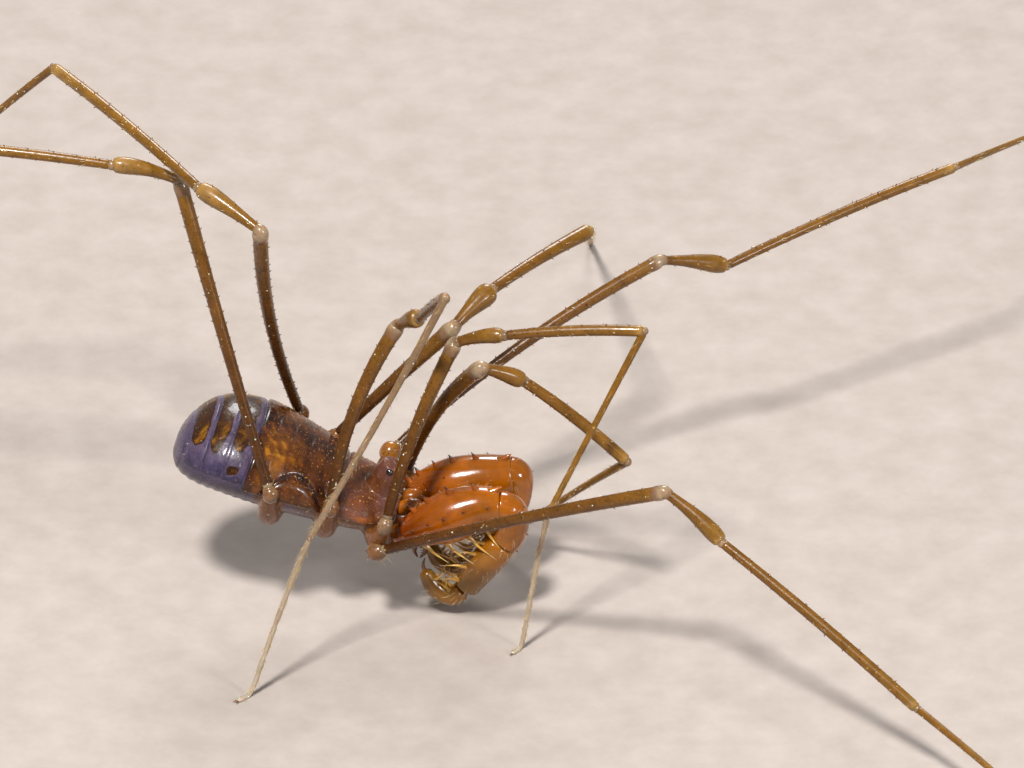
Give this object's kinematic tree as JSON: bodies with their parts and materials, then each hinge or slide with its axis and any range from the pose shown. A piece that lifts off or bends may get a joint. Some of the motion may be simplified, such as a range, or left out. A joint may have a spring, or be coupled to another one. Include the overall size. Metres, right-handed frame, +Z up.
{
  "type": "harvestman",
  "caption": "Still life-size cave harvestman with long bent legs, spined folded pedipalps and a plated body, standing on its feet.",
  "frame": {"origin": "on the floor, under the middle of the whole spread of the legs", "axes": "+X towards the animal's head, +Y towards its left side, +Z up"},
  "size_m": [0.0372, 0.0336, 0.0127],
  "materials": {
    "shield": "granular translucent red-brown shell",
    "tergite": "brown plates with violet bands",
    "underside": "soft violet-grey skin",
    "eye": "glossy black",
    "palp": "glossy translucent amber-orange",
    "leg_base": "brown amber",
    "leg_middle": "olive tan",
    "leg_end": "pale straw, hairy"
  },
  "bodies": {
    "root": {"leg_right_1_femur": "leg_base", "leg_right_1_patella": "leg_middle", "leg_right_1_tibia": "leg_middle", "leg_right_1_metatarsus": "leg_end", "leg_right_1_tarsus": "leg_end", "leg_right_2_femur": "leg_base", "leg_right_2_patella": "leg_middle", "leg_right_2_tibia": "leg_middle", "leg_right_2_metatarsus": "leg_end", "leg_right_2_tarsus": "leg_end", "leg_right_3_femur": "leg_base", "leg_right_3_patella": "leg_middle", "leg_right_3_tibia": "leg_middle", "leg_right_3_metatarsus": "leg_end", "leg_right_3_tarsus": "leg_end", "leg_right_4_femur": "leg_base", "leg_right_4_patella": "leg_middle", "leg_right_4_tibia": "leg_middle", "leg_right_4_metatarsus": "leg_end", "leg_right_4_tarsus": "leg_end", "palp_right_femur": "palp", "palp_right_patella": "palp", "palp_right_tibia": "palp", "palp_right_tarsus": "palp", "chelicera_right": "palp", "eye_right": "eye", "leg_left_1_femur": "leg_base", "leg_left_1_patella": "leg_middle", "leg_left_1_tibia": "leg_middle", "leg_left_1_metatarsus": "leg_end", "leg_left_1_tarsus": "leg_end", "leg_left_2_femur": "leg_base", "leg_left_2_patella": "leg_middle", "leg_left_2_tibia": "leg_middle", "leg_left_2_metatarsus": "leg_end", "leg_left_2_tarsus": "leg_end", "leg_left_3_femur": "leg_base", "leg_left_3_patella": "leg_middle", "leg_left_3_tibia": "leg_middle", "leg_left_3_metatarsus": "leg_end", "leg_left_3_tarsus": "leg_end", "leg_left_4_femur": "leg_base", "leg_left_4_patella": "leg_middle", "leg_left_4_tibia": "leg_middle", "leg_left_4_metatarsus": "leg_end", "leg_left_4_tarsus": "leg_end", "palp_left_femur": "palp", "palp_left_patella": "palp", "palp_left_tibia": "palp", "palp_left_tarsus": "palp", "chelicera_left": "palp", "eye_left": "eye", "carapace": "shield", "scutum": "shield", "free_tergite_1": "tergite", "free_tergite_2": "tergite", "free_tergite_3": "tergite", "anal_plate": "tergite", "venter": "underside"}
  },
  "joints": []
}
